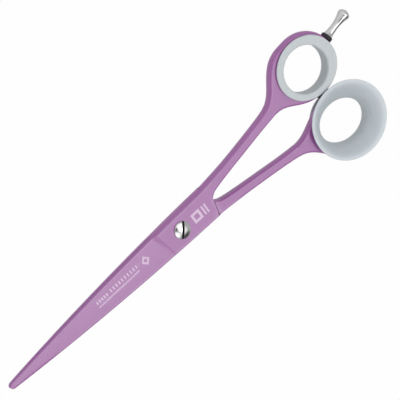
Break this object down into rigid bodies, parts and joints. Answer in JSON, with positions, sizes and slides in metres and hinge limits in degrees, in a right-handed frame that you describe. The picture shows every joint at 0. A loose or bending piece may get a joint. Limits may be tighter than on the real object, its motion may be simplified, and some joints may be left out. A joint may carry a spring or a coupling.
{
  "type": "hairdressing shears",
  "caption": "Hairdressing shears with coated steel halves, slotted pivot screw, soft ring inserts and a screw-in finger rest.",
  "frame": {"origin": "on the pivot axis, in the plane where the two halves meet", "axes": "+X from the pivot towards the finger rings, +Y towards the finger ring's side, +Z towards the screw head"},
  "size_m": [0.2012, 0.0587, 0.0086],
  "materials": {
    "coated_steel": "satin lavender coat over forged steel",
    "polished_steel": "mirror polished steel",
    "slide_plastic": "plain white slide plastic",
    "soft_insert": "matt pale grey silicone rubber",
    "black_rubber": "matt black rubber"
  },
  "bodies": {
    "finger_side": {"finger_half": "coated_steel", "finger_insert": "soft_insert", "bumper": "black_rubber"},
    "thumb_side": {"thumb_half": "coated_steel", "thumb_insert": "soft_insert", "slide_washer": "slide_plastic"},
    "screw": {"pivot_screw": "polished_steel"},
    "rest_base": {"rest_washer": "black_rubber"},
    "rest": {"finger_rest": "polished_steel"}
  },
  "joints": [
    {"name": "blade_pivot", "type": "hinge", "parent": "finger_side", "child": "thumb_side", "pos_m": [0, 0, 0], "axis": [0, 0, -1], "range_deg": [0, 120]},
    {"name": "screw_turn", "type": "hinge", "parent": "thumb_side", "child": "screw", "pos_m": [0, 0, 0], "axis": [0, 0, 1], "range_deg": [0, 90]},
    {"name": "rest_travel", "type": "slide", "parent": "finger_side", "child": "rest_base", "axis": [0.981, 0.1942, 0], "range_m": [0, 0.0025]},
    {"name": "rest_turn", "type": "hinge", "parent": "rest_base", "child": "rest", "pos_m": [0.0806, 0.01444, 0], "axis": [0.981, 0.1942, 0], "range_deg": [0, 1800]}
  ],
  "couplings": [
    {"joint": "rest_turn", "follows": "rest_travel", "rad_per_m": 12566}
  ]
}
